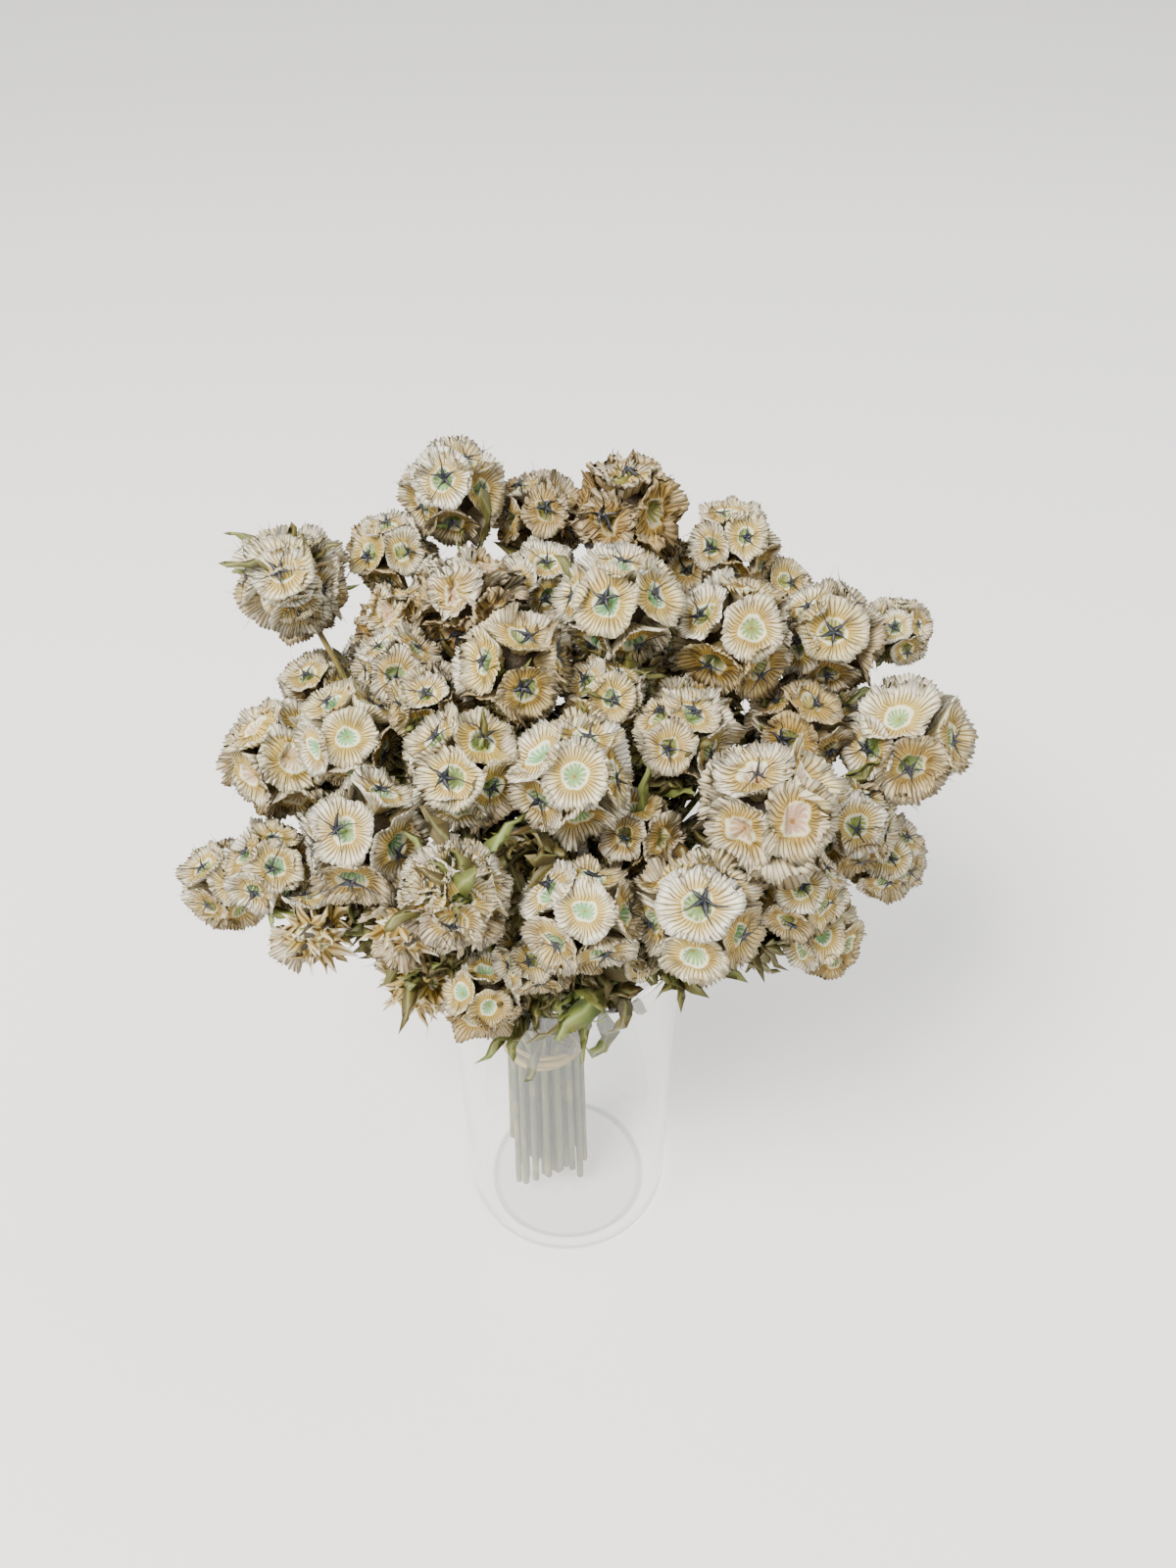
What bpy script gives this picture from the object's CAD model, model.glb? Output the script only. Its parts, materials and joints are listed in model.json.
import math
import random

import bmesh
import bpy
import numpy as np
from mathutils import Matrix, Vector
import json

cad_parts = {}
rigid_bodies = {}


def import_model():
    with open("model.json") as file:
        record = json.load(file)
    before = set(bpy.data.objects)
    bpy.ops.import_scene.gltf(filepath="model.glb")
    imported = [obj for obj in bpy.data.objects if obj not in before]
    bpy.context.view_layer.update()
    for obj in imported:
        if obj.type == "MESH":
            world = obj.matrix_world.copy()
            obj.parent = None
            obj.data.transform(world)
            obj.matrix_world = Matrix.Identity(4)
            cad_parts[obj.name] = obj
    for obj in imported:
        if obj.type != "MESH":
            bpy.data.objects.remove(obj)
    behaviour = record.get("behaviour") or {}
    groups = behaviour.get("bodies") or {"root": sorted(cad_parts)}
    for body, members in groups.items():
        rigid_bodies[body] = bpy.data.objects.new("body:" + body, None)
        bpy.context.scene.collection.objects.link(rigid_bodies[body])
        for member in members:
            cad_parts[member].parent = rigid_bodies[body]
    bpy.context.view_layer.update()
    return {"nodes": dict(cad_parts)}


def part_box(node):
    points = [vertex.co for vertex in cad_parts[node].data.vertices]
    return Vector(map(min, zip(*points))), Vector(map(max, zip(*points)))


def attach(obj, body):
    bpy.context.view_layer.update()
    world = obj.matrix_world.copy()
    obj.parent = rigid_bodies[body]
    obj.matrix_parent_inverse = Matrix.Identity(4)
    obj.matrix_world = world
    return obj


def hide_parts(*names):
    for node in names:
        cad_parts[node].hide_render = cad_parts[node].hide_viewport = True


# A bunch of dried scabiosa seed heads, tied with a band and standing in a clear glass vase.
# Metres, +Z up, with the origin in the middle of the vase's foot.
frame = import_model()
MM = 0.001

# The view: a camera looks down on the bunch from the front. The room is a pale floor that
# runs on past the horizon, lit by soft daylight from above.
CAMERA_PLACE = Vector((8.1, -255.6, 449.1)) * MM
CAMERA_PITCH = 43
CAMERA_LENS = 28.125
SKY_STRENGTH = 1.35
camera = bpy.data.objects.new("camera", bpy.data.cameras.new("camera"))
bpy.context.scene.collection.objects.link(camera)
camera.location = CAMERA_PLACE
camera.rotation_euler = (math.radians(90 - CAMERA_PITCH), 0, 0)
camera.data.sensor_width = 36
camera.data.lens = CAMERA_LENS
camera.data.clip_start = 0.01
bpy.context.scene.camera = camera

FLOOR_SIZE = 6
floor_mesh = bpy.data.meshes.new("floor")
floor_corners = [(x * FLOOR_SIZE, y * FLOOR_SIZE, 0) for x, y in ((-1, -1), (1, -1), (1, 1), (-1, 1))]
floor_mesh.from_pydata(floor_corners, [], [(0, 1, 2, 3)])
floor = bpy.data.objects.new("floor", floor_mesh)
bpy.context.scene.collection.objects.link(floor)
paint = bpy.data.materials.new("pale floor")
paint.use_nodes = True
paint.node_tree.nodes["Principled BSDF"].inputs["Base Color"].default_value = (0.90, 0.87, 0.835, 1)
paint.node_tree.nodes["Principled BSDF"].inputs["Roughness"].default_value = 0.8
floor_mesh.materials.append(paint)

sky = bpy.data.worlds.new("daylight")
bpy.context.scene.world = sky
sky.use_nodes = True
sky.node_tree.nodes["Background"].inputs["Color"].default_value = (0.97, 0.985, 1.0, 1)
sky.node_tree.nodes["Background"].inputs["Strength"].default_value = SKY_STRENGTH


def soft_light(name, place, size, power, colour):
    light = bpy.data.lights.new(name, "AREA")
    light.shape = "SQUARE"
    light.size = size
    light.energy = power
    light.color = colour
    lamp = bpy.data.objects.new(name, light)
    lamp.location = place
    lamp.rotation_euler = (Vector((0, 0, 0.15)) - Vector(place)).to_track_quat("-Z", "Y").to_euler()
    bpy.context.scene.collection.objects.link(lamp)


soft_light("window", (-0.7, -0.7, 1.6), 0.7, 66, (1.0, 0.985, 0.95))
soft_light("fill", (1.1, 0.4, 1.3), 1.2, 12, (0.95, 0.97, 1.0))


# The vase is a straight cylinder of clear glass in one piece, with a rounded rim, a rounded lower
# edge and a flat foot.
VASE_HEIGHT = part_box("vase")[1].z
VASE_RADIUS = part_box("vase")[1].x
GLASS_WALL = 2.6 * MM
GLASS_FLOOR = 5 * MM
FOOT_RADIUS = 29 * MM
VASE_INNER_CORNER = 6 * MM
VASE_STEPS = 96
WALL_STEPS = 24


def arc(centre_r, centre_z, radius, first, last, steps):
    points = []
    for k in range(steps + 1):
        turn = math.radians(first + (last - first) * k / steps)
        points.append((centre_r + radius * math.cos(turn), centre_z + radius * math.sin(turn)))
    return points


def straight(start, end):
    """Points along a straight stretch, close enough together that the glass bends no light there."""
    shares = [k / WALL_STEPS for k in range(1, WALL_STEPS)]
    return [(start[0] + (end[0] - start[0]) * s, start[1] + (end[1] - start[1]) * s) for s in shares]


def turned(name, profile, steps):
    """A body of revolution. The profile runs from the axis below, round the outside, back to the axis."""
    mesh = bmesh.new()
    rings = []
    for r, z in profile:
        if r < 1e-7:
            rings.append([mesh.verts.new((0, 0, z))])
        else:
            turns = [2 * math.pi * k / steps for k in range(steps)]
            rings.append([mesh.verts.new((r * math.cos(t), r * math.sin(t), z)) for t in turns])
    for lower, upper in zip(rings, rings[1:]):
        for k in range(steps):
            corners = [lower[k % len(lower)], lower[(k + 1) % len(lower)]]
            corners += [upper[(k + 1) % len(upper)], upper[k % len(upper)]]
            mesh.faces.new(list(dict.fromkeys(corners)))
    bmesh.ops.recalc_face_normals(mesh, faces=mesh.faces)
    data = bpy.data.meshes.new(name)
    mesh.to_mesh(data)
    mesh.free()
    data.shade_smooth()
    piece = bpy.data.objects.new(name, data)
    bpy.context.scene.collection.objects.link(piece)
    return piece


outer_corner = VASE_RADIUS - FOOT_RADIUS
inner_radius = VASE_RADIUS - GLASS_WALL
rim = GLASS_WALL / 2
corner_z = GLASS_FLOOR + VASE_INNER_CORNER
lower_edge = arc(FOOT_RADIUS, outer_corner, outer_corner, -90, 0, 12)
rounded_rim = arc(VASE_RADIUS - rim, VASE_HEIGHT - rim, rim, 0, 180, 12)
inner_edge = arc(inner_radius - VASE_INNER_CORNER, corner_z, VASE_INNER_CORNER, 0, -90, 10)
wall_profile = [(0, 0), *straight((0, 0), lower_edge[0]), *lower_edge]
wall_profile += [*straight(lower_edge[-1], rounded_rim[0]), *rounded_rim]
wall_profile += [*straight(rounded_rim[-1], inner_edge[0]), *inner_edge]
wall_profile += [*straight(inner_edge[-1], (0, GLASS_FLOOR)), (0, GLASS_FLOOR)]
vase = turned("glass_vase", wall_profile, VASE_STEPS)

glass = bpy.data.materials.new("clear glass")
glass.use_nodes = True
clear = glass.node_tree.nodes["Principled BSDF"]
clear.inputs["Roughness"].default_value = 0.0
clear.inputs["IOR"].default_value = 1.47
clear.inputs["Transmission Weight"].default_value = 1


class Chain:
    """Adds nodes to a tree and links them by socket names."""

    def __init__(self, tree):
        self.tree = tree

    def add(self, kind, links=(), **settings):
        node = self.tree.nodes.new(kind)
        for title, value in settings.items():
            if title[0].isupper():
                node.inputs[title.replace("_", " ")].default_value = value
            else:
                setattr(node, title, value)
        for socket, output in dict(links).items():
            self.tree.links.new(output, node.inputs[socket])
        return node

    def value(self, title, kind="FLOAT"):
        return self.add("GeometryNodeInputNamedAttribute", data_type=kind, Name=title).outputs["Attribute"]


def calculate(chain, operation, first, second):
    """A sum, with each side an output or a plain number."""
    node = chain.add("ShaderNodeMath", operation=operation)
    for socket, given in zip(node.inputs, (first, second)):
        if isinstance(given, bpy.types.NodeSocket):
            chain.tree.links.new(given, socket)
        else:
            socket.default_value = given
    return node.outputs["Value"]


def stepped(chain, value, low, high, to_low=0.0, to_high=1.0):
    """A value's place between two limits, eased from one end to the other."""
    node = chain.add("ShaderNodeMapRange", {"Value": value}, interpolation_type="SMOOTHSTEP")
    for socket, number in zip(range(1, 5), (low, high, to_low, to_high)):
        node.inputs[socket].default_value = number
    return node.outputs["Result"]


def mix(chain, factor, first, second, way="MIX"):
    """A colour mix. The factor and both colours may be an output or a plain value."""
    node = chain.add("ShaderNodeMix", data_type="RGBA", blend_type=way)
    for socket, given in zip((node.inputs[0], node.inputs[6], node.inputs[7]), (factor, first, second)):
        if isinstance(given, bpy.types.NodeSocket):
            chain.tree.links.new(given, socket)
        else:
            socket.default_value = given
    return node.outputs[2]


# Light passes the thin wall, so the glass throws a faint shadow and its rim stays bright.
MOST_BENDS = 4.5
SHADOW_PASSES = 0.85
chain = Chain(glass.node_tree)
rays = chain.add("ShaderNodeLightPath").outputs
passed = calculate(chain, "GREATER_THAN", rays["Ray Depth"], MOST_BENDS)
in_shadow = calculate(chain, "MULTIPLY", rays["Is Shadow Ray"], SHADOW_PASSES)
passed = calculate(chain, "MAXIMUM", passed, in_shadow)
chain.tree.links.new(calculate(chain, "SUBTRACT", 1.0, passed), clear.inputs["Alpha"])
# The foot stands on a ground ring, which looks grey.
spot = chain.add("ShaderNodeTexCoord").outputs["Object"]
spot = chain.add("ShaderNodeSeparateXYZ", {"Vector": spot}).outputs
squares = [calculate(chain, "POWER", spot[axis], 2.0) for axis in ("X", "Y")]
from_middle = calculate(chain, "POWER", calculate(chain, "ADD", *squares), 0.5)
from_ring = calculate(chain, "ABSOLUTE", calculate(chain, "SUBTRACT", from_middle, FOOT_RADIUS), 0)
ring_mask = stepped(chain, from_ring, 2.2 * MM, 0.5 * MM)
ring_mask = calculate(chain, "MULTIPLY", ring_mask, stepped(chain, spot["Z"], 2 * MM, 0))
ground = mix(chain, ring_mask, (0.985, 0.995, 0.99, 1), (0.22, 0.24, 0.24, 1))
chain.tree.links.new(ground, clear.inputs["Base Color"])
vase.data.materials.append(glass)
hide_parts("vase")
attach(vase, "root")


# The stems are thin, faintly ribbed and olive green. Each runs from under its seed head down
# through the band to a slanting cut end near the vase's floor, and they lie packed in six handfuls.
STEM_RADIUS = 1.25 * MM
STEM_SIDES = 10
CORE_SHARE = 0.4
CORE_CORNERS = 20
STARTS = 60
SETTLING_ROUNDS = 12
SAME_WAY = 0.99
SECTION_NEAR = 40 * MM
TRACK_STEP = 3 * MM
LONGEST_TRACK = 80
MOST_LOST = 4
LONGEST_SECTION = 9.5 * MM
TIE_MIDDLE = np.array((-7, 0, 100)) * MM
SPLAY = 1.12
HANDFULS = 6
# The nine places of a handful: distance from the bundle's middle, bearing, distance at the band.
HANDFUL_PLACES = (
    (3.3, 0, 5.1),
    (6.2, -15, 6.2),
    (6.2, 15, 6.2),
    (9.3, -20, 10.6),
    (9.3, 0, 10.6),
    (9.3, 20, 10.6),
    (12.4, -20, 12.4),
    (12.4, 0, 12.4),
    (12.4, 20, 12.4),
)
BUD_TOP = np.array((23, -41, 181)) * MM
BUD_WAY = np.array((0.26, -0.37, 0.89))
LEAF_TUFT_TOP = np.array((10, -44, 169)) * MM
LEAF_TUFT_WAY = np.array((0.19, -0.58, 0.80))
LEAF_TUFT_DEPTH = 9 * MM
NECK_START = 6 * MM


def node_triangles(name):
    """A CAD node's triangles as an array of their corners."""
    data = frame["nodes"][name].data
    data.calc_loop_triangles()
    places = np.empty(len(data.vertices) * 3, np.float32)
    data.vertices.foreach_get("co", places)
    numbers = np.empty(len(data.loop_triangles) * 3, np.int32)
    data.loop_triangles.foreach_get("vertices", numbers)
    return places.reshape(-1, 3)[numbers].reshape(-1, 3, 3).astype(float)


def unit(vector):
    return vector / np.linalg.norm(vector)


def read_head(name):
    """Where a head lies: its middle, its radius and the twelve ways of its cups and its stem."""
    points = np.unique(np.round(node_triangles(name).reshape(-1, 3), 6), axis=0)
    low, high = points.min(0), points.max(0)
    chance = np.random.default_rng(1)
    readings = []
    for _ in range(STARTS):
        middle = low + (high - low) * chance.random(3)
        for _ in range(SETTLING_ROUNDS):
            distance = np.linalg.norm(points - middle, axis=1)
            corners = points[np.argsort(distance)[:CORE_CORNERS]]
            middle = corners.mean(0)
        lengths = np.linalg.norm(corners - middle, axis=1)
        readings.append((lengths.std() / lengths.mean(), middle, corners, lengths.mean()))
    _, middle, corners, reach = min(readings, key=lambda reading: reading[0])
    radius = reach / CORE_SHARE
    ways = []
    for corner in corners:
        apart = np.linalg.norm(corners - corner, axis=1)
        first, second, third = corners[np.argsort(apart)[1:4]] - corner
        for a, b in ((first, second), (second, third), (third, first)):
            way = unit(np.cross(a, b))
            way *= np.sign(way @ (corner - middle))
            if all(way @ known < SAME_WAY for known in ways):
                ways.append(way)
    return {"middle": middle, "radius": radius, "ways": ways}


def sections(triangles, place, way):
    """The closed outlines in which a plane cuts a solid: each one's middle and its length round."""
    height = (triangles - place) @ way
    near = (height.min(1) < 0) & (height.max(1) > 0)
    near &= np.linalg.norm(triangles - place, axis=2).min(1) < SECTION_NEAR
    pairs = []
    for corners, heights in zip(triangles[near], height[near]):
        ends = []
        for k in range(3):
            here, there = heights[k], heights[(k + 1) % 3]
            if (here < 0) != (there < 0):
                share = here / (here - there)
                ends.append(corners[k] + share * (corners[(k + 1) % 3] - corners[k]))
        pairs.append(ends)
    outlines = []
    for start, end in pairs:
        keys = {tuple(np.round(point / 1e-6).astype(int)) for point in (start, end)}
        length = np.linalg.norm(end - start)
        merged = [keys, length, length * (start + end) / 2]
        apart = []
        for outline in outlines:
            if outline[0] & keys:
                merged = [merged[0] | outline[0], merged[1] + outline[1], merged[2] + outline[2]]
            else:
                apart.append(outline)
        outlines = apart + [merged]
    return [(weighted / total, total) for _, total, weighted in outlines if total > 1e-6]


def follow_stem(triangles, top, way):
    """The points along a stem's middle, from its head towards the band, as far as it is found."""
    path = [top]
    here = top
    lost = 0
    while here[2] > TIE_MIDDLE[2] + TRACK_STEP and len(path) < LONGEST_TRACK and lost < MOST_LOST:
        ahead = here + TRACK_STEP * way
        single = [middle for middle, length in sections(triangles, ahead, way) if length < LONGEST_SECTION]
        single = [middle for middle in single if np.linalg.norm(middle - ahead) < 0.6 * TRACK_STEP]
        lost += 1
        if single:
            ahead = min(single, key=lambda middle: np.linalg.norm(middle - ahead))
            way = unit(ahead - here)
            lost = 0
        here = ahead
        path.append(here)
    return path[: len(path) - lost]


def bundle_places(handful):
    """Where the stems of a handful lie in the band, just under it and at their cut ends."""
    rows = []
    bearing = math.radians(-180 + 360 / HANDFULS * (handful + 0.5))
    for distance, turn, pressed in HANDFUL_PLACES:
        angle = bearing + math.radians(turn)
        way = np.array((math.cos(angle), math.sin(angle), 0))
        rows.append((way * pressed * MM, way * distance * MM, way * distance * SPLAY * MM))
    return rows


heads = {name: read_head(name) for name in sorted(frame["nodes"]) if name.startswith("head")}
stem_nodes = sorted(name for name in frame["nodes"] if name.startswith("stems"))
stem_solids = [node_triangles(name) for name in stem_nodes]
tuft_foot = LEAF_TUFT_TOP - LEAF_TUFT_DEPTH * unit(LEAF_TUFT_WAY)
tops = {"bud": (BUD_TOP, [-unit(BUD_WAY)]), "leaf_tuft": (tuft_foot, [-unit(LEAF_TUFT_WAY)])}
tops |= {name: (head["middle"], head["ways"]) for name, head in heads.items()}
handfuls = [[] for _ in stem_nodes]
for name, (top, ways) in tops.items():
    reach = NECK_START + (0.16 * heads[name]["radius"] if name in heads else 0)
    found = []
    for turn, way in enumerate(ways):
        for number, solid in enumerate(stem_solids):
            for middle, _ in sections(solid, top + reach * way, way):
                found.append((np.linalg.norm(middle - top - reach * way), turn, number))
    _, turn, number = min(found)
    down = ways[turn]
    if name in heads:
        heads[name]["down"] = down
        heads[name]["ways"] = [way for way in ways if way @ down < SAME_WAY]
    handfuls[number].append((name, follow_stem(stem_solids[number], top, down)))

FOOT_NEAR = 1.7 * MM
HIGHEST_CUT = 40 * MM
PLAIN_CUT = 8 * MM
UNDER_BAND = 88 * MM
ABOVE_BAND = 112 * MM
NECK_GIRTH = 0.72


def new_tree(name, sizes):
    """A Geometry Nodes tree with named inputs, and the identifier of each."""
    tree = bpy.data.node_groups.new(name, "GeometryNodeTree")
    tree.interface.new_socket("Geometry", in_out="INPUT", socket_type="NodeSocketGeometry")
    inputs = {}
    for title, kind in sizes.items():
        socket = tree.interface.new_socket(title, in_out="INPUT", socket_type="NodeSocket" + kind)
        inputs[title] = socket.identifier
    tree.interface.new_socket("Geometry", in_out="OUTPUT", socket_type="NodeSocketGeometry")
    return tree, inputs


def grow(name, source, tree, inputs, values):
    """Runs a tree on a source object and keeps the result as a plain piece in the source's place."""
    modifier = source.modifiers.new("grow", "NODES")
    modifier.node_group = tree
    for title, value in values.items():
        modifier[inputs[title]] = value
    bpy.context.view_layer.update()
    finished = source.evaluated_get(bpy.context.evaluated_depsgraph_get())
    data = bpy.data.meshes.new_from_object(finished)
    source.modifiers.remove(modifier)
    bpy.data.objects.remove(source)
    data.name = name
    piece = bpy.data.objects.new(name, data)
    bpy.context.scene.collection.objects.link(piece)
    return piece


def source_points(points, edges, values):
    """A source object of loose points or lines, with named values on its points."""
    data = bpy.data.meshes.new("source")
    data.from_pydata([tuple(point) for point in points], edges, [])
    for title, (kind, rows) in values.items():
        attribute = data.attributes.new(title, kind, "POINT").data
        attribute.foreach_set("vector" if kind == "FLOAT_VECTOR" else "value", np.ravel(rows))
    source = bpy.data.objects.new("source", data)
    bpy.context.scene.collection.objects.link(source)
    return source


def shaken(chain, geometry, amount, **noise):
    """Geometry with each point moved a little by a noise."""
    waver = chain.add("ShaderNodeTexNoise", **noise).outputs["Color"]
    waver = chain.add("ShaderNodeVectorMath", {0: waver}, operation="SUBTRACT")
    waver.inputs[1].default_value = (0.5, 0.5, 0.5)
    waver = chain.add("ShaderNodeVectorMath", {0: waver.outputs[0], "Scale": amount}, operation="SCALE")
    moved = chain.add("GeometryNodeSetPosition", {"Geometry": geometry, "Offset": waver.outputs[0]})
    return moved.outputs["Geometry"]


stem_tree, stem_inputs = new_tree("stem", {"Sides": "Int", "Wobble": "Float", "Surface": "Material"})
chain = Chain(stem_tree)
given = chain.add("NodeGroupInput").outputs
line = chain.add("GeometryNodeMeshToCurve", {"Mesh": given["Geometry"]}).outputs["Curve"]
line = chain.add("GeometryNodeCurveSplineType", {"Curve": line}, spline_type="CATMULL_ROM").outputs["Curve"]
line = chain.add("GeometryNodeSetSplineResolution", {"Geometry": line}, Resolution=3).outputs["Geometry"]
round_profile = chain.add("GeometryNodeCurvePrimitiveCircle", {"Resolution": given["Sides"]}, Radius=1)
tube = chain.add(
    "GeometryNodeCurveToMesh",
    {"Curve": line, "Profile Curve": round_profile.outputs["Curve"], "Scale": chain.value("girth")},
    Fill_Caps=True,
)
tube = shaken(chain, tube.outputs["Mesh"], given["Wobble"], Scale=110)
tube = chain.add("GeometryNodeRealizeInstances", {"Geometry": tube}).outputs["Geometry"]
tube = chain.add("GeometryNodeSetMaterial", {"Geometry": tube, "Material": given["Surface"]})
chain.add("NodeGroupOutput", {"Geometry": tube.outputs["Geometry"]})


def linear(code):
    """The linear colour of a screen colour written as six hexadecimal digits."""
    parts = [int(code[k : k + 2], 16) / 255 for k in (0, 2, 4)]
    return (*[part / 12.92 if part < 0.04 else ((part + 0.055) / 1.055) ** 2.4 for part in parts], 1)


def new_material(name, roughness):
    """A material with its Principled shader, and a chain to add nodes to it."""
    material = bpy.data.materials.new(name)
    material.use_nodes = True
    shader = material.node_tree.nodes["Principled BSDF"]
    shader.inputs["Roughness"].default_value = roughness
    return material, shader, Chain(material.node_tree)


def ramp(chain, factor, stops):
    """A colour ramp on a factor, from stops of (place, linear colour)."""
    node = chain.add("ShaderNodeValToRGB", {"Fac": factor})
    elements = node.color_ramp.elements
    while len(elements) < len(stops):
        elements.new(0.5)
    for element, (place, colour) in zip(elements, stops):
        element.position = place
        element.color = colour
    return node.outputs["Color"]


def bump(chain, shader, height, strength, distance):
    node = chain.add("ShaderNodeBump", {"Height": height}, Strength=strength, Distance=distance)
    chain.tree.links.new(node.outputs["Normal"], shader.inputs["Normal"])


stem_skin, shader, chain = new_material("dried green stem", 0.6)
place = chain.add("ShaderNodeTexCoord").outputs["Object"]
height = chain.add("ShaderNodeSeparateXYZ", {"Vector": place}).outputs["Z"]
along = stepped(chain, height, 0.0, 0.24)
colour = ramp(
    chain,
    along,
    [
        (0.0, linear("67663A")),
        (0.12, linear("46522A")),
        (0.36, linear("4B5826")),
        (0.5, linear("7F7C2E")),
        (0.8, linear("747A2C")),
        (1.0, linear("7C6A35")),
    ],
)
stretched = chain.add("ShaderNodeMapping", {"Vector": place}, Scale=(900, 900, 60)).outputs["Vector"]
streaks = chain.add("ShaderNodeTexNoise", {"Vector": stretched}, Scale=1, Detail=3).outputs["Fac"]
patches = chain.add("ShaderNodeTexNoise", {"Vector": place}, Scale=70, Detail=2).outputs["Fac"]
colour = mix(chain, stepped(chain, streaks, 0.42, 0.7, 0, 0.6), colour, linear("3F4223"))
colour = mix(chain, stepped(chain, patches, 0.52, 0.75, 0, 0.5), colour, linear("A58B5C"))
chain.tree.links.new(colour, shader.inputs["Base Color"])
bump(chain, shader, streaks, 0.4, 0.0003)


def cut_height(points, foot):
    """How high a stem's cut end is, read from the lowest corners of its CAD solid near its foot."""
    near = np.linalg.norm(points[:, :2] - foot[:2], axis=1) < FOOT_NEAR
    low = points[near & (points[:, 2] < HIGHEST_CUT)]
    return low[:, 2].min() if len(low) else PLAIN_CUT


for number, (node, members) in enumerate(zip(stem_nodes, handfuls)):
    corners = stem_solids[number].reshape(-1, 3)
    rows = bundle_places(number)
    ends = [path[-1] - TIE_MIDDLE for _, path in members]
    distances = []
    for member, end in enumerate(ends):
        for row, offsets in enumerate(rows):
            distances.append((np.linalg.norm(end[:2] - offsets[0][:2]), member, row))
    chosen = {}
    for _, member, row in sorted(distances):
        if member not in chosen and row not in chosen.values():
            chosen[member] = row
    points, edges, girths = [], [], []
    for member, (_, path) in enumerate(members):
        upper = [point for point in path if point[2] > ABOVE_BAND]
        middle_line = np.array((TIE_MIDDLE[0], TIE_MIDDLE[1], 0))
        offsets = rows[chosen.get(member, member % len(rows))]
        pressed, below, foot = (offset + middle_line for offset in offsets)
        foot = foot + np.array((0, 0, cut_height(corners, foot)))
        lower = [pressed + (0, 0, TIE_MIDDLE[2]), below + (0, 0, UNDER_BAND), foot]
        line = upper[:1] + upper[1:-1:2] + lower
        first, last = len(points), len(line) - 1
        points += line
        edges += [(first + k, first + k + 1) for k in range(last)]
        girths += [STEM_RADIUS * (NECK_GIRTH + (1 - NECK_GIRTH) * k / last) for k in range(last + 1)]
    source = source_points(points, edges, {"girth": ("FLOAT", girths)})
    piece = grow(
        node + "_natural",
        source,
        stem_tree,
        stem_inputs,
        {"Sides": STEM_SIDES, "Wobble": 0.5 * MM, "Surface": stem_skin},
    )
    piece.data.shade_smooth()
    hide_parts(node)
    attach(piece, "root")


# The tie is a strip of tan raffia wound twice round the stems in the vase, with a thinner strand
# above it. It holds itself by its own tightness, and its ends are tucked behind.
TIE_LOW, TIE_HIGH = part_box("tie")
TIE_RADIUS = (TIE_HIGH.x - TIE_LOW.x) / 2
TIE_CENTRE = (TIE_LOW + TIE_HIGH) / 2
RAFFIA_SIDES = 12
STRAND_STEPS = 40
raffia, shader, chain = new_material("tan raffia", 0.7)
place = chain.add("ShaderNodeTexCoord").outputs["Object"]
stretched = chain.add("ShaderNodeMapping", {"Vector": place}, Scale=(90, 90, 1600)).outputs["Vector"]
fibres = chain.add("ShaderNodeTexNoise", {"Vector": stretched}, Scale=1, Detail=3).outputs["Fac"]
colour = mix(chain, stepped(chain, fibres, 0.35, 0.7), linear("A8904C"), linear("6F5C28"))
chain.tree.links.new(colour, shader.inputs["Base Color"])
bump(chain, shader, fibres, 0.5, 0.0003)


def strand(name, turns, height, tilt, reach, thick):
    """A wound strand as a source line with its thickness on each point."""
    steps = round(STRAND_STEPS * turns)
    points = []
    girths = []
    for k in range(steps + 1):
        turn = 2 * math.pi * (k / STRAND_STEPS + 0.3)
        lift = tilt * math.cos(turn - 0.6) + (k / steps - 0.5) * thick * 1.3 * (turns - 1)
        out = reach + 0.25 * MM * math.sin(3 * turn)
        points.append(TIE_CENTRE + Vector((out * math.cos(turn), out * math.sin(turn), height + lift)))
        girths.append(thick * (1 if 0 < k < steps else 0.4))
    edges = [(k, k + 1) for k in range(steps)]
    source = source_points(points, edges, {"girth": ("FLOAT", girths)})
    values = {"Sides": RAFFIA_SIDES, "Wobble": 0.35 * MM, "Surface": raffia}
    piece = grow(name, source, stem_tree, stem_inputs, values)
    piece.data.shade_smooth()
    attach(piece, "root")
    return piece


wide_strand = strand("raffia_strip", 2, -0.8 * MM, 1.6 * MM, TIE_RADIUS - 0.7 * MM, 1.3 * MM)
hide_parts("tie")
strand("raffia_strand", 1, 2.6 * MM, -1.2 * MM, TIE_RADIUS - 0.5 * MM, 0.8 * MM)


# Each seed head is a ball of papery cups on a small dark core. A cup is a pleated saucer of thin
# membrane with brown ribs and a toothed edge, a pale ring and a green bowl, and most hold a dark
# star with five fine awns on a short stalk.
RIBS = 39
BOWL_SIDES = 26
TUBE_SIDES = 13
CUP_REACH = 0.62
CUP_DEPTH = 0.86
CORE_REACH = 0.5
CORE_SPREAD = 3
AWNS = 5
RIM_TOOTH = 0.04
FRONT_TURN = 0.42
# The cup's upper side from its middle to its rim: distance out, height, pleat and spread.
BOWL_RINGS = ((0.12, -0.34, 0.0, 0.1), (0.24, -0.28, 0.0, 0.22), (0.32, -0.14, 0.0, 0.33))
MEMBRANE_RINGS = (
    (0.40, -0.05, 0.008, 0.41),
    (0.56, -0.10, 0.024, 0.56),
    (0.79, -0.04, 0.038, 0.79),
    (1.0, 0.09, 0.034, 1.0),
)
UNDERSIDE_RING = (0.60, -0.20, 0.030, 1.35)
TUBE_RINGS = ((0.34, -0.44, 0.0, 1.6), (0.20, -0.78, 0.0, 1.8), (0.17, -1.05, 0.0, 2.0))
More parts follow.
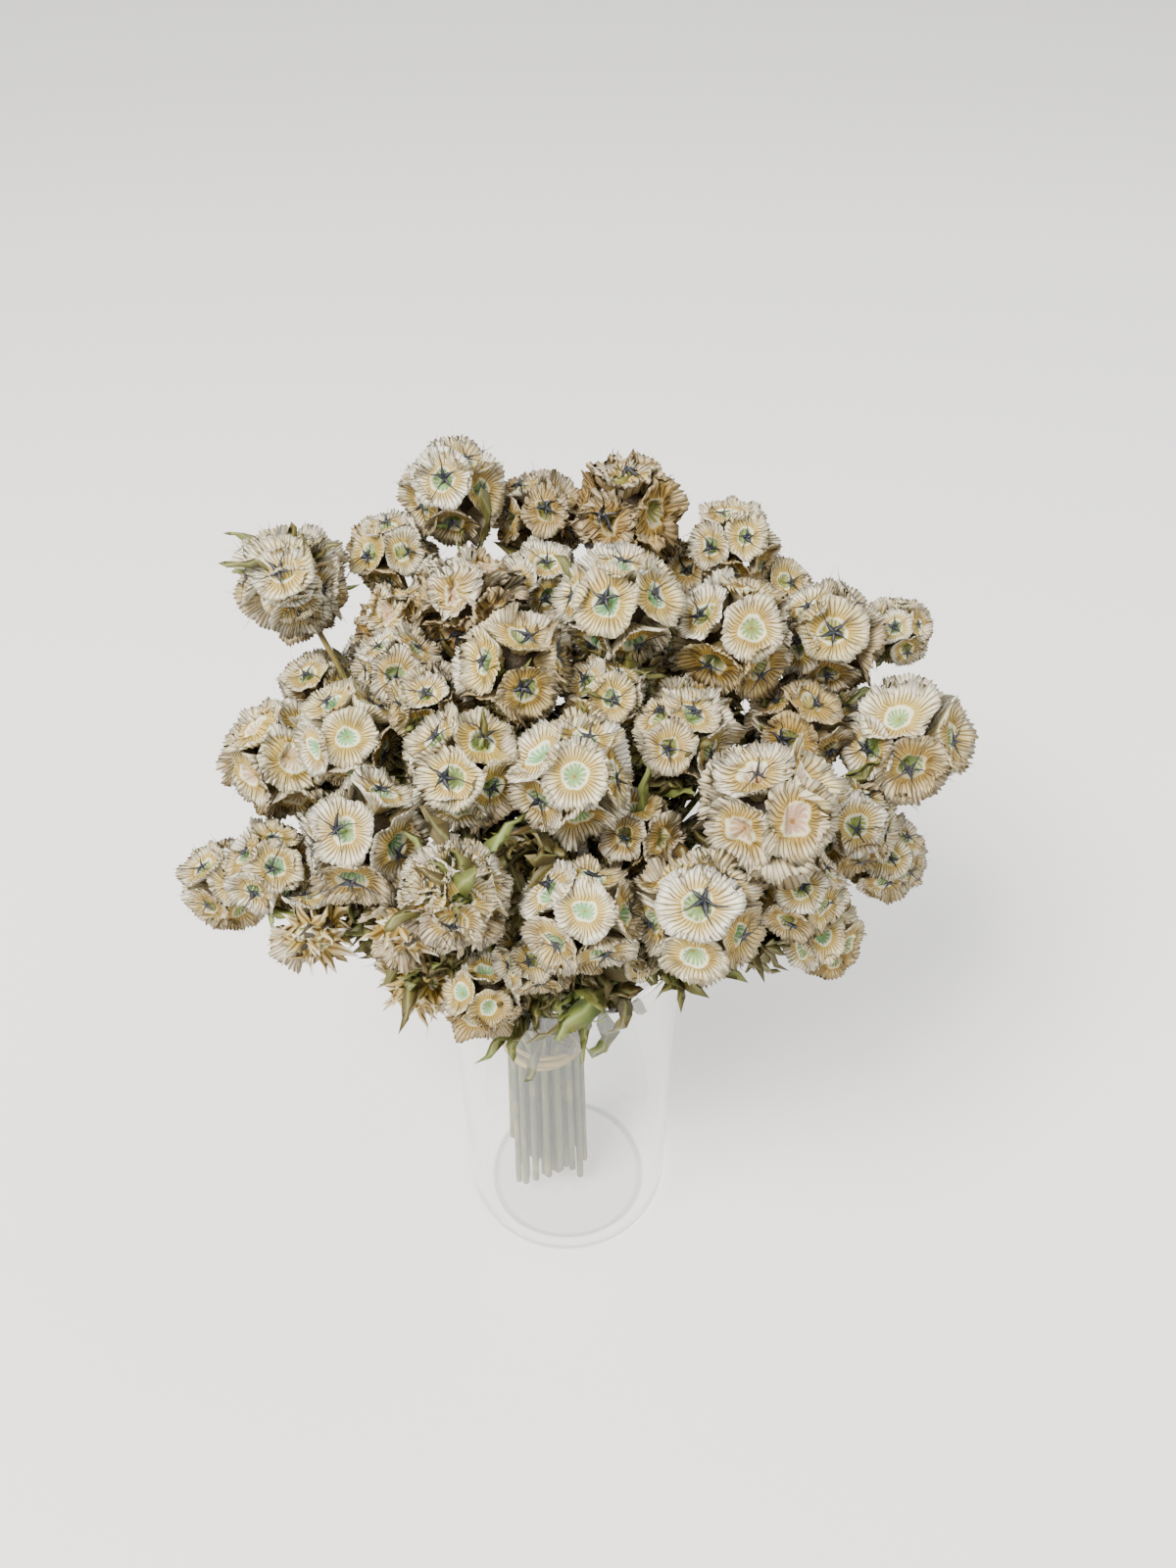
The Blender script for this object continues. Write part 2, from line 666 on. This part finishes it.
# The stations of one awn of a star: distance out, half its width and height.
AWN_STATIONS = ((0.0, 0.07, 0.0), (0.13, 0.072, 0.02), (0.28, 0.034, 0.05), (0.42, 0.016, 0.08))


class Shape:
    """Points with their rib and spread values, and faces that know whether they belong to a star."""

    def __init__(self):
        self.points = []
        self.ribs = []
        self.spreads = []
        self.faces = []
        self.starred = []

    def point(self, place, rib, spread):
        self.points.append(tuple(place))
        self.ribs.append(rib)
        self.spreads.append(spread)
        return len(self.points) - 1

    def face(self, corners, star=False):
        self.faces.append(tuple(corners))
        self.starred.append(star)

    def ring(self, sides, radius, height, pleat, spread, uneven=None):
        """A level ring of points. Its pleats go up at each rib and down between."""
        ring = []
        for k in range(sides):
            rib = (k + 1) % 2
            turn = 2 * math.pi * k / sides
            out, up = radius, height + pleat * (2 * rib - 1)
            if uneven:
                ragged, tooth, wave, phase = uneven
                bulge = math.sin(2 * turn + phase) + 0.6 * math.sin(5 * turn + 2 * phase)
                out += radius**2 * ragged * bulge
                out += tooth * (rib - 0.5) * (1 + 0.6 * math.sin(7 * turn + phase))
                up += radius**2 * wave * (math.sin(3 * turn + phase) + 0.5 * math.sin(7 * turn - phase))
            ring.append(self.point((out * math.cos(turn), out * math.sin(turn), up), rib, spread))
        return ring

    def bridge(self, inner, outer):
        """Faces between two rings, where the outer one has a whole multiple of the inner one's points."""
        times = len(outer) // len(inner)
        for k, here in enumerate(inner):
            after = inner[(k + 1) % len(inner)]
            edge = [outer[(k * times + j) % len(outer)] for j in range(times + 1)]
            turning = max(times // 2, 1)
            for j in range(times):
                self.face((here if j < turning else after, edge[j], edge[j + 1]))
            self.face((here, edge[turning], after))

    def fan(self, tip, ring, star=False):
        for k, corner in enumerate(ring):
            self.face((tip, corner, ring[(k + 1) % len(ring)]), star)

    def blade(self, spine, side, up, spreads, star=False):
        """A closed blade with a four-sided section. The spine's rows are place, half width, half depth."""
        rings = []
        for (place, half, deep), spread in zip(spine[:-1], spreads):
            corners = (side * half, up * deep, -side * half, -up * deep)
            ribs = (0, 1, 0, 1)
            rings.append([self.point(place + way, rib, spread) for way, rib in zip(corners, ribs)])
        tip = self.point(spine[-1][0], 0, spreads[-1])
        self.face(rings[0], star)
        for lower, upper in zip(rings, rings[1:]):
            for j in range(4):
                self.face((lower[j], lower[(j + 1) % 4], upper[(j + 1) % 4], upper[j]), star)
        self.fan(tip, rings[-1], star)

    def star(self, lean, reach, lift, turned=0.3):
        """A star of five tapering awns that cross at the top of a leaning stalk."""
        middle = Vector((lean * 0.5, lean * 0.2, 0.03))
        halfway = 0.42 + 0.5 * (reach - 0.42)
        stations = AWN_STATIONS + ((halfway, 0.011, 0.08 + 0.3 * lift), (reach, 0, 0.08 + lift))
        for k in range(AWNS):
            turn = 2 * math.pi * k / AWNS + turned
            out = Vector((math.cos(turn), math.sin(turn), 0))
            side = Vector((-out.y, out.x, 0))
            bend = 0.08 * math.sin(2.4 * k + turned)
            spine = []
            for along, half, height in stations:
                place = middle + out * along + side * bend * along**2 + Vector((0, 0, height))
                spine.append((place, half, max(0.6 * half, 0.011)))
            self.blade(spine, side, Vector((0, 0, 1)), [0] * len(spine), True)
        stalk = [(Vector((0, 0, -0.4)), 0.05, 0.05), (middle * 0.9, 0.035, 0.035), (middle, 0, 0)]
        self.blade(stalk, Vector((1, 0, 0)), Vector((0, 1, 0)), [0.2, 0.2, 0.2])

    def build(self, name):
        data = bpy.data.meshes.new(name)
        data.from_pydata(self.points, [], self.faces)
        for title, values in (("rib", self.ribs), ("spread", self.spreads)):
            data.attributes.new(title, "FLOAT", "POINT").data.foreach_set("value", values)
        data.attributes.new("is_star", "BOOLEAN", "FACE").data.foreach_set("value", self.starred)
        tidy = bmesh.new()
        tidy.from_mesh(data)
        bmesh.ops.recalc_face_normals(tidy, faces=tidy.faces)
        tidy.to_mesh(data)
        tidy.free()
        data.shade_smooth()
        return data


def cup_shape(star=None, bowl_depth=1.0, ragged=0.03, wave=0.05, phase=0.0, flare=0.0):
    cup = Shape()
    uneven = (ragged, 0, wave, phase)
    centre = cup.point((0, 0, -0.34 * bowl_depth), 0, 0)
    rings = []
    for radius, height, pleat, spread in BOWL_RINGS:
        rings.append(cup.ring(BOWL_SIDES, radius, height * bowl_depth, pleat, spread))
    for radius, height, pleat, spread in MEMBRANE_RINGS:
        tooth = RIM_TOOTH if radius == 1 else 0
        height += flare * max(0, radius - 0.4) ** 1.5
        rings.append(cup.ring(2 * RIBS, radius, height, pleat, spread, (ragged, tooth, wave, phase)))
    cup.fan(centre, rings[0])
    for inner, outer in zip(rings, rings[1:]):
        cup.bridge(inner, outer)
    below = cup.ring(2 * RIBS, *UNDERSIDE_RING, uneven)
    tube = [cup.ring(BOWL_SIDES, *TUBE_RINGS[0])]
    tube += [cup.ring(TUBE_SIDES, *ring) for ring in TUBE_RINGS[1:]]
    end = cup.point((0, 0, TUBE_RINGS[-1][1]), 0, TUBE_RINGS[-1][3])
    cup.bridge(below, rings[-1])
    cup.bridge(tube[0], below)
    cup.bridge(tube[1], tube[0])
    cup.bridge(tube[2], tube[1])
    cup.fan(end, tube[2])
    if star:
        cup.star(*star)
    return cup


def sepal_shape():
    """The open end of a spent head: papery pointed sepals round a small brown middle."""
    husk = Shape()
    for k in range(7):
        turn = 2 * math.pi * (k + 0.2 * math.sin(3 * k)) / 7
        out = Vector((math.cos(turn), math.sin(turn), 0))
        side = Vector((-out.y, out.x, 0))
        rise = 0.35 + 0.25 * math.sin(2 * k)
        length = 1 + 0.2 * math.sin(5 * k)
        spine = []
        for along, half in ((0.0, 0.06), (0.3, 0.21), (0.6, 0.23), (0.85, 0.10), (1.15, 0)):
            place = out * along * length + Vector((0, 0, -0.45 + rise * along**1.5))
            spine.append((place, half, 0.035))
        husk.blade(spine, side, Vector((0, 0, 1)), [0.06, 0.45, 0.6, 0.8, 1.0])
    stalk = []
    for height, half in ((-0.7, 0.1), (-0.42, 0.12), (-0.35, 0)):
        stalk.append((Vector((0, 0, height)), half, half))
    husk.blade(stalk, Vector((1, 0, 0)), Vector((0, 1, 0)), [2, 0.05, 0.02])
    return husk


def core_shape():
    ball = bmesh.new()
    bmesh.ops.create_icosphere(ball, subdivisions=3, radius=1)
    core = Shape()
    for vertex in ball.verts:
        core.point(vertex.co, 0, CORE_SPREAD)
    for face in ball.faces:
        core.face([vertex.index for vertex in face.verts])
    ball.free()
    return core


SHAPES = {
    "shape_0_starred": cup_shape(star=(0.10, 0.90, 0.16)),
    "shape_1_ragged": cup_shape(star=(0.22, 0.98, 0.20, 0.9), ragged=0.05, wave=0.09, phase=1.3, flare=0.1),
    "shape_2_leaning": cup_shape(star=(0.40, 1.0, 0.22, 1.6), ragged=0.04, wave=0.07, phase=2.6),
    "shape_3_long_awned": cup_shape(star=(0.16, 1.25, 0.34), ragged=0.04, wave=0.08, phase=4.0, flare=0.15),
    "shape_4_bare": cup_shape(bowl_depth=0.55, ragged=0.03, wave=0.06, phase=5.1),
    "shape_5_folded": cup_shape(bowl_depth=0.7, ragged=0.08, wave=0.17, phase=0.7, flare=0.35),
    "shape_6_sepals": sepal_shape(),
    "shape_7_core": core_shape(),
}
STARRED, RAGGED, LEANING, LONG_AWNED, BARE, FOLDED, SEPALS, CORE = range(len(SHAPES))
head_shapes = bpy.data.collections.new("head shapes")
for title, shape in SHAPES.items():
    head_shapes.objects.link(bpy.data.objects.new(title, shape.build(title)))

# How each head looks: how brown with age, how minty its bowls, how pink its bowls, how many of its
# cups are bare, how many have long awns, and how crumpled it is.
PLAIN_LOOK = (0.22, 0.40, 0.0, 0.12, 0.22, 0.6)
HEAD_LOOKS = {
    "head_01": (0.15, 0.50, 0.0, 0.05, 0.9, 0.5),
    "head_02": (0.60, 0.15, 0.1, 0.10, 0.3, 0.8),
    "head_03": (0.80, 0.00, 0.1, 0.40, 0.2, 1.6),
    "head_08": (0.15, 0.95, 0.0, 0.35, 0.8, 0.5),
    "head_09": (0.50, 0.00, 0.7, 0.60, 0.2, 1.6),
    "head_10": (0.20, 0.75, 0.0, 0.15, 0.3, 0.6),
    "head_12": (0.40, 0.15, 0.0, 0.05, 0.5, 0.6),
    "head_18": (0.55, 0.15, 0.1, 0.20, 0.3, 0.8),
    "head_20": (0.25, 0.10, 0.9, 0.70, 0.6, 0.9),
    "head_21": (0.10, 1.00, 0.0, 0.60, 0.2, 0.5),
    "head_23": (0.10, 0.85, 0.0, 0.15, 0.3, 0.5),
    "head_25": (0.20, 0.10, 0.9, 0.75, 0.2, 0.8),
    "head_28": (0.15, 0.85, 0.0, 0.25, 0.3, 0.6),
    "head_30": (0.15, 0.90, 0.0, 0.50, 0.3, 0.6),
    "head_32": (0.60, 0.25, 0.0, 0.20, 0.3, 0.8),
    "head_33": (0.20, 0.75, 0.0, 0.20, 0.3, 0.6),
    "head_35": (0.25, 0.80, 0.0, 0.60, 0.3, 0.6),
    "head_36": (0.20, 0.40, 0.0, 0.10, 0.9, 0.6),
    "head_37": (0.15, 0.85, 0.0, 0.30, 0.8, 0.7),
    "head_41": (0.20, 1.00, 0.0, 0.90, 0.1, 0.5),
    "head_47": (0.55, 0.00, 0.7, 0.60, 0.2, 1.6),
    "head_48": (0.55, 0.15, 0.2, 0.30, 0.2, 0.9),
    "head_49": (0.45, 0.25, 0.0, 0.20, 0.2, 0.8),
    "head_50": (0.55, 0.25, 0.0, 0.30, 0.2, 0.8),
    "head_51": (0.60, 0.25, 0.0, 0.30, 0.2, 0.8),
    "head_52": (0.75, 0.15, 0.0, 0.30, 0.2, 0.9),
}
HUSKS = ("head_31", "head_38", "head_39", "head_40")
HUSK_LOOK = (0.20, 0.35, 0.0, 0.3, 0.3, 0.9)

cup_skin, shader, chain = new_material("papery cup", 0.7)


def read(title):
    return chain.add("ShaderNodeAttribute", attribute_name=title).outputs["Fac"]


spread, rib, tone = read("spread"), read("rib"), read("tone")
mint, blush, age = read("mint"), read("blush"), read("age")
place = chain.add("ShaderNodeTexCoord").outputs["Object"]
blotch = chain.add("ShaderNodeTexNoise", {"Vector": place}, Scale=240, Detail=3).outputs["Fac"]
fibre = chain.add("ShaderNodeTexNoise", {"Vector": place}, Scale=1500, Detail=2).outputs["Fac"]
# The membrane is golden near its ring and paler and greyer towards its edge.
membrane = mix(chain, stepped(chain, tone, 0, 1), linear("F1EDDC"), linear("E3D5A6"))
membrane = mix(chain, stepped(chain, spread, 0.85, 0.45, 0, 0.8), membrane, linear("C9B052"))
membrane = mix(chain, stepped(chain, spread, 0.8, 1.0, 0, 0.4), membrane, linear("E6E4DC"))
membrane = mix(chain, stepped(chain, spread, 1.2, 2.0, 0, 0.8), membrane, linear("A3954A"))
membrane = mix(chain, stepped(chain, blotch, 0.5, 0.75, 0, 0.5), membrane, linear("BBA055"))
rib_colour = mix(chain, stepped(chain, spread, 0.45, 1.0), linear("836818"), linear("56472A"))
line_mask = calculate(chain, "MULTIPLY", stepped(chain, rib, 0.5, 0.9), stepped(chain, spread, 0.40, 0.46))
line_mask = calculate(chain, "MULTIPLY", line_mask, stepped(chain, spread, 2.0, 1.3, 0.2, 0.9))
line_mask = calculate(chain, "MULTIPLY", line_mask, stepped(chain, spread, 0.65, 1.0, 1.0, 0.6))
skin = mix(chain, line_mask, membrane, rib_colour)
bowl = mix(chain, mint, linear("A8A650"), linear("8DBB8C"))
bowl = mix(chain, blush, bowl, linear("D6B8A4"))
in_bowl = stepped(chain, spread, 0.08, 0.3, 0, 0.8)
streak = calculate(chain, "MULTIPLY", stepped(chain, rib, 0.35, 0.9), in_bowl)
bowl = mix(chain, streak, bowl, linear("F2EFE2"))
bowl = mix(chain, stepped(chain, spread, 0.07, 0.02), bowl, linear("A98A3C"))
bowl = mix(chain, stepped(chain, spread, 0.30, 0.37), bowl, linear("ECEAD0"))
skin = mix(chain, stepped(chain, spread, 0.385, 0.43), bowl, skin)
skin = mix(chain, calculate(chain, "MULTIPLY", age, 0.8), skin, linear("AC9050"), "MULTIPLY")
skin = mix(chain, stepped(chain, blotch, 0.3, 0.7, 0, 0.1), skin, linear("7A5C2C"))
core_colour = mix(chain, stepped(chain, fibre, 0.35, 0.7), linear("3A2C1B"), linear("6B5A38"))
skin = mix(chain, stepped(chain, spread, 2.4, 2.6), skin, core_colour)
skin = chain.add("ShaderNodeGamma", {"Color": skin}, Gamma=1.4).outputs["Color"]
chain.tree.links.new(skin, shader.inputs["Base Color"])
bump(chain, shader, fibre, 0.35, 0.0002)

star_skin, shader, chain = new_material("dark star and awns", 0.45)
place = chain.add("ShaderNodeTexCoord").outputs["Object"]
grain = chain.add("ShaderNodeTexNoise", {"Vector": place}, Scale=700, Detail=2).outputs["Fac"]
colour = mix(chain, stepped(chain, grain, 0.4, 0.7), linear("1B2029"), linear("33302E"))
chain.tree.links.new(colour, shader.inputs["Base Color"])
bump(chain, shader, grain, 0.3, 0.0001)

# The tree sets one shape on each point, turned, sized and crumpled, and gives stars their own skin.
scatter_tree, scatter_inputs = new_tree(
    "scatter", {"Shapes": "Collection", "Crumple": "Float", "Surface": "Material", "Star Surface": "Material"}
)
chain = Chain(scatter_tree)
given = chain.add("NodeGroupInput").outputs
shapes = chain.add(
    "GeometryNodeCollectionInfo", {"Collection": given["Shapes"]}, Separate_Children=True, Reset_Children=True
)
turned_by = chain.add("FunctionNodeEulerToRotation", {"Euler": chain.value("turn", "FLOAT_VECTOR")})
placed = chain.add(
    "GeometryNodeInstanceOnPoints",
    {
        "Points": given["Geometry"],
        "Instance": shapes.outputs["Instances"],
        "Instance Index": chain.value("variant", "INT"),
        "Rotation": turned_by.outputs["Rotation"],
        "Scale": chain.value("size"),
    },
    Pick_Instance=True,
)
placed = chain.add("GeometryNodeRealizeInstances", {"Geometry": placed.outputs["Instances"]})
geometry = placed.outputs["Geometry"]
for scale, share in ((190, 1.0), (620, 0.3)):
    amount = calculate(chain, "MULTIPLY", given["Crumple"], share)
    geometry = shaken(chain, geometry, amount, Scale=scale, Detail=1)
placed = chain.add("GeometryNodeSetMaterial", {"Geometry": geometry, "Material": given["Surface"]})
placed = chain.add(
    "GeometryNodeSetMaterial",
    {
        "Geometry": placed.outputs["Geometry"],
        "Selection": chain.value("is_star", "BOOLEAN"),
        "Material": given["Star Surface"],
    },
)
chain.add("NodeGroupOutput", {"Geometry": placed.outputs["Geometry"]})
VALUE_KINDS = {"turn": "FLOAT_VECTOR", "variant": "INT"}


def scatter(name, rows, shapes, crumple, surface, star_surface):
    """Grows one piece from rows of place, turn, size, variant and the values that colour them."""
    values = {}
    for title in rows[0]:
        if title != "place":
            values[title] = (VALUE_KINDS.get(title, "FLOAT"), [row[title] for row in rows])
    source = source_points([row["place"] for row in rows], [], values)
    inputs = {"Shapes": shapes, "Crumple": crumple, "Surface": surface, "Star Surface": star_surface}
    piece = grow(name, source, scatter_tree, scatter_inputs, inputs)
    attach(piece, "root")
    return piece


def within(value):
    return min(1.0, max(0.0, value))


def aimed(way, roll):
    """The turn that brings a shape's +Z to a way, after a roll about it."""
    return (way.to_track_quat("Z", "Y").to_matrix() @ Matrix.Rotation(roll, 3, "Z")).to_euler()


def jitter(chance, amount):
    return Vector([chance.uniform(-amount, amount) for _ in range(3)])


def cup_rows(name, head, chance):
    husk = name in HUSKS
    age, mint, blush, bare, awned, _ = HUSK_LOOK if husk else HEAD_LOOKS.get(name, PLAIN_LOOK)
    middle, radius, down = Vector(head["middle"]), head["radius"], Vector(head["down"])
    to_camera = (CAMERA_PLACE - middle).normalized()
    ways = [Vector(way) for way in head["ways"]] + [down]
    front = max(ways, key=lambda way: way.dot(to_camera))
    turn = front.rotation_difference((to_camera + jitter(chance, FRONT_TURN)).normalized())
    colours = {"tone": 0.5, "mint": 0, "blush": 0, "age": 0.5}
    rows = [{"place": middle, "turn": (0, 0, 0), "size": CORE_REACH * radius, "variant": CORE, **colours}]
    for k, way in enumerate(ways):
        is_front = way is front
        way = (turn @ way + jitter(chance, 0.12)).normalized()
        if way.dot(down) > 0.84:
            continue
        size = CUP_REACH * radius * chance.uniform(0.9, 1.08)
        depth = CUP_DEPTH * chance.uniform(0.92, 1.06)
        if husk and (is_front or k % 4):
            kind, size = SEPALS, size * 1.05
            depth *= 0.85
        elif chance.random() < bare or (is_front and bare > 0.45):
            kind = chance.choice((BARE, BARE, FOLDED))
        elif chance.random() < awned:
            kind = LONG_AWNED
        else:
            kind = chance.choice((STARRED, RAGGED, RAGGED, LEANING, LEANING))
        tilted = (way + jitter(chance, 0.14)).normalized()
        rows.append(
            {
                "place": middle + way * depth * radius,
                "turn": aimed(tilted, chance.uniform(0, 2 * math.pi)),
                "size": size,
                "variant": kind,
                "tone": chance.random(),
                "mint": within(mint + chance.uniform(-0.25, 0.25)),
                "blush": within(blush + chance.uniform(-0.3, 0.1)),
                "age": within(age + chance.uniform(-0.2, 0.3) - 0.3 * way.z),
            }
        )
    return rows


for number, (name, head) in enumerate(heads.items()):
    look = HUSK_LOOK if name in HUSKS else HEAD_LOOKS.get(name, PLAIN_LOOK)
    rows = cup_rows(name, head, random.Random(100 + number))
    piece = scatter(name + "_papery", rows, head_shapes, 5.5 * MM * look[5], cup_skin, star_skin)
    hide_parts(name)


# Narrow dried leaves and bracts: green bracts hang back under some heads, olive leaves stand among
# the stems, and a few have curled up green over the front of the rim. They are thin and soft.
def leaf_shape(length_bend, width, curl):
    leaf = Shape()
    spine = []
    steps = 9
    for k in range(steps + 1):
        along = k / steps
        angle = length_bend * along
        out = math.sin(angle) / length_bend if length_bend else along
        fall = (1 - math.cos(angle)) / length_bend if length_bend else 0
        half = width * math.sin(math.pi * min(1, 0.12 + 0.88 * along)) ** 0.7
        place = Vector((curl * math.sin(2.5 * along), -fall, out))
        spine.append((place, half if k < steps else 0, 0.012))
    leaf.blade(spine, Vector((1, 0, 0)), Vector((0, 1, 0)), [k / steps for k in range(steps + 1)])
    return leaf


LEAVES = {
    "leaf_0_straight": leaf_shape(0.5, 0.075, 0.02),
    "leaf_1_bent": leaf_shape(1.6, 0.085, 0.06),
    "leaf_2_curled": leaf_shape(4.2, 0.12, 0.10),
    "leaf_3_wide": leaf_shape(1.0, 0.13, -0.08),
}
leaf_shapes = bpy.data.collections.new("leaf shapes")
for title, shape in LEAVES.items():
    leaf_shapes.objects.link(bpy.data.objects.new(title, shape.build(title)))

leaf_skin, shader, chain = new_material("dried leaf", 0.6)
along, rib, age = read("spread"), read("rib"), read("age")
place = chain.add("ShaderNodeTexCoord").outputs["Object"]
blotch = chain.add("ShaderNodeTexNoise", {"Vector": place}, Scale=230, Detail=3).outputs["Fac"]
colour = mix(chain, stepped(chain, along, 0.1, 0.9), linear("55762B"), linear("7B8F45"))
colour = mix(chain, stepped(chain, blotch, 0.5, 0.8, 0, 0.6), colour, linear("8F8548"))
colour = mix(chain, age, colour, linear("503C16"))
colour = mix(chain, stepped(chain, rib, 0.7, 1.0, 0, 0.3), colour, linear("AFB878"))
chain.tree.links.new(colour, shader.inputs["Base Color"])
bump(chain, shader, blotch, 0.4, 0.0004)

DEEP_MIDDLE = Vector((0, 30, 165)) * MM
DEEP_REACH = 80 * MM
BRACTED = ("head_01", "head_08", "head_13", "head_26", "head_36", "head_43", "head_44", "head_46")
BRACTS_PER_HEAD = 6
LEAVES_PER_STEM = 11
LOWEST_LEAF = 108 * MM
SPENT_PER_HEAD = 10
CURLED_COUNT = 9
BUD_CUPS = 9
chance = random.Random(7)


def leaf_row(place, way, sizes, size_unit, variants, ages):
    """One leaf's row. Its roll, size, shape and age are drawn in that order."""
    return {
        "place": place,
        "turn": aimed(way, chance.uniform(0, 6.3)),
        "size": chance.uniform(*sizes) * size_unit,
        "variant": chance.choice(variants),
        "age": chance.uniform(*ages),
    }


rows = []
for name in BRACTED:
    head = heads[name]
    down = Vector(head["down"])
    root = Vector(head["middle"]) + down * 0.62 * head["radius"]
    across = down.orthogonal().normalized()
    for k in range(BRACTS_PER_HEAD):
        bearing = 2 * math.pi * (k + chance.uniform(-0.3, 0.3)) / BRACTS_PER_HEAD
        way = Matrix.Rotation(bearing, 3, down) @ across + down * chance.uniform(0.5, 1.3)
        place = root + down * (k % 2) * 1.5 * MM
        rows.append(leaf_row(place, way.normalized(), (0.75, 1.1), head["radius"], (0, 1, 3), (0, 0.25)))
bracts = scatter("bracts", rows, leaf_shapes, 3 * MM, leaf_skin, leaf_skin)

rows = []
for members in handfuls:
    for _, path in members:
        for _ in range(LEAVES_PER_STEM):
            share = chance.uniform(0.15, 0.8)
            spot = Vector(path[int(share * (len(path) - 1))])
            if spot.z < LOWEST_LEAF:
                continue
            outward = Vector((spot.x, spot.y, 0)) - Vector((TIE_MIDDLE[0], TIE_MIDDLE[1], 0))
            way = (Vector((0, 0, 1)) + jitter(chance, 0.9) + outward.normalized() * 0.2).normalized()
            rows.append(leaf_row(spot, way, (18, 32), MM, (0, 1, 2, 3, 3), (0.4, 1.0)))
inner_leaves = scatter("inner_leaves", rows, leaf_shapes, 6 * MM, leaf_skin, leaf_skin)

# Dark brown spent cups cling to the stems under the heads, deep in the bunch.
rows = []
for head in heads.values():
    middle, down = Vector(head["middle"]), Vector(head["down"])
    for _ in range(SPENT_PER_HEAD):
        spot = middle + down * head["radius"] * chance.uniform(0.8, 1.8) + jitter(chance, 7 * MM)
        if (spot - DEEP_MIDDLE).length > DEEP_REACH:
            continue
        rows.append(
            {
                "place": spot,
                "turn": aimed(jitter(chance, 1) - 0.6 * down, chance.uniform(0, 6.3)),
                "size": chance.uniform(7, 11) * MM,
                "variant": SEPALS,
                "age": chance.uniform(0.75, 1.0),
            }
        )
spent_cups = scatter("spent_cups", rows, head_shapes, 7 * MM, leaf_skin, leaf_skin)

rows = []
tuft = Vector(LEAF_TUFT_TOP)
tuft_way = Vector(LEAF_TUFT_WAY).normalized()
for _ in range(CURLED_COUNT):
    way = Vector([chance.uniform(low, high) for low, high in ((-1, 1), (-0.3, 0.5), (-0.1, 0.5))])
    place = tuft - tuft_way * 7 * MM + jitter(chance, 2 * MM)
    rows.append(leaf_row(place, way.normalized(), (10, 16), MM, (1, 2, 2, 3), (0, 0.2)))
curled_leaves = scatter("curled_leaves", rows, leaf_shapes, 3 * MM, leaf_skin, leaf_skin)

# A small green bud stands at the front on its own stem, in a cup of pointed bracts.
BUD_RADIUS = 6 * MM
bud_centre = Vector(BUD_TOP)
bud_way = Vector(BUD_WAY).normalized()
BUD_LOOK = {"tone": 0.5, "mint": 1, "blush": 0, "age": 0}
rows = [{"place": bud_centre, "turn": (0, 0, 0), "size": 0.55 * BUD_RADIUS, "variant": CORE, **BUD_LOOK}]
for _ in range(BUD_CUPS):
    way = (bud_way + jitter(chance, 1.1)).normalized()
    rows.append(
        {
            "place": bud_centre + way * 0.5 * BUD_RADIUS,
            "turn": aimed(way, chance.uniform(0, 6.3)),
            "size": BUD_RADIUS * chance.uniform(0.55, 0.75),
            "variant": chance.choice((BARE, SEPALS)),
            **BUD_LOOK,
        }
    )
bud = scatter("bud", rows, head_shapes, 2 * MM, cup_skin, star_skin)
for store in (head_shapes, leaf_shapes):
    for item in list(store.objects):
        bpy.data.objects.remove(item)
    bpy.data.collections.remove(store)
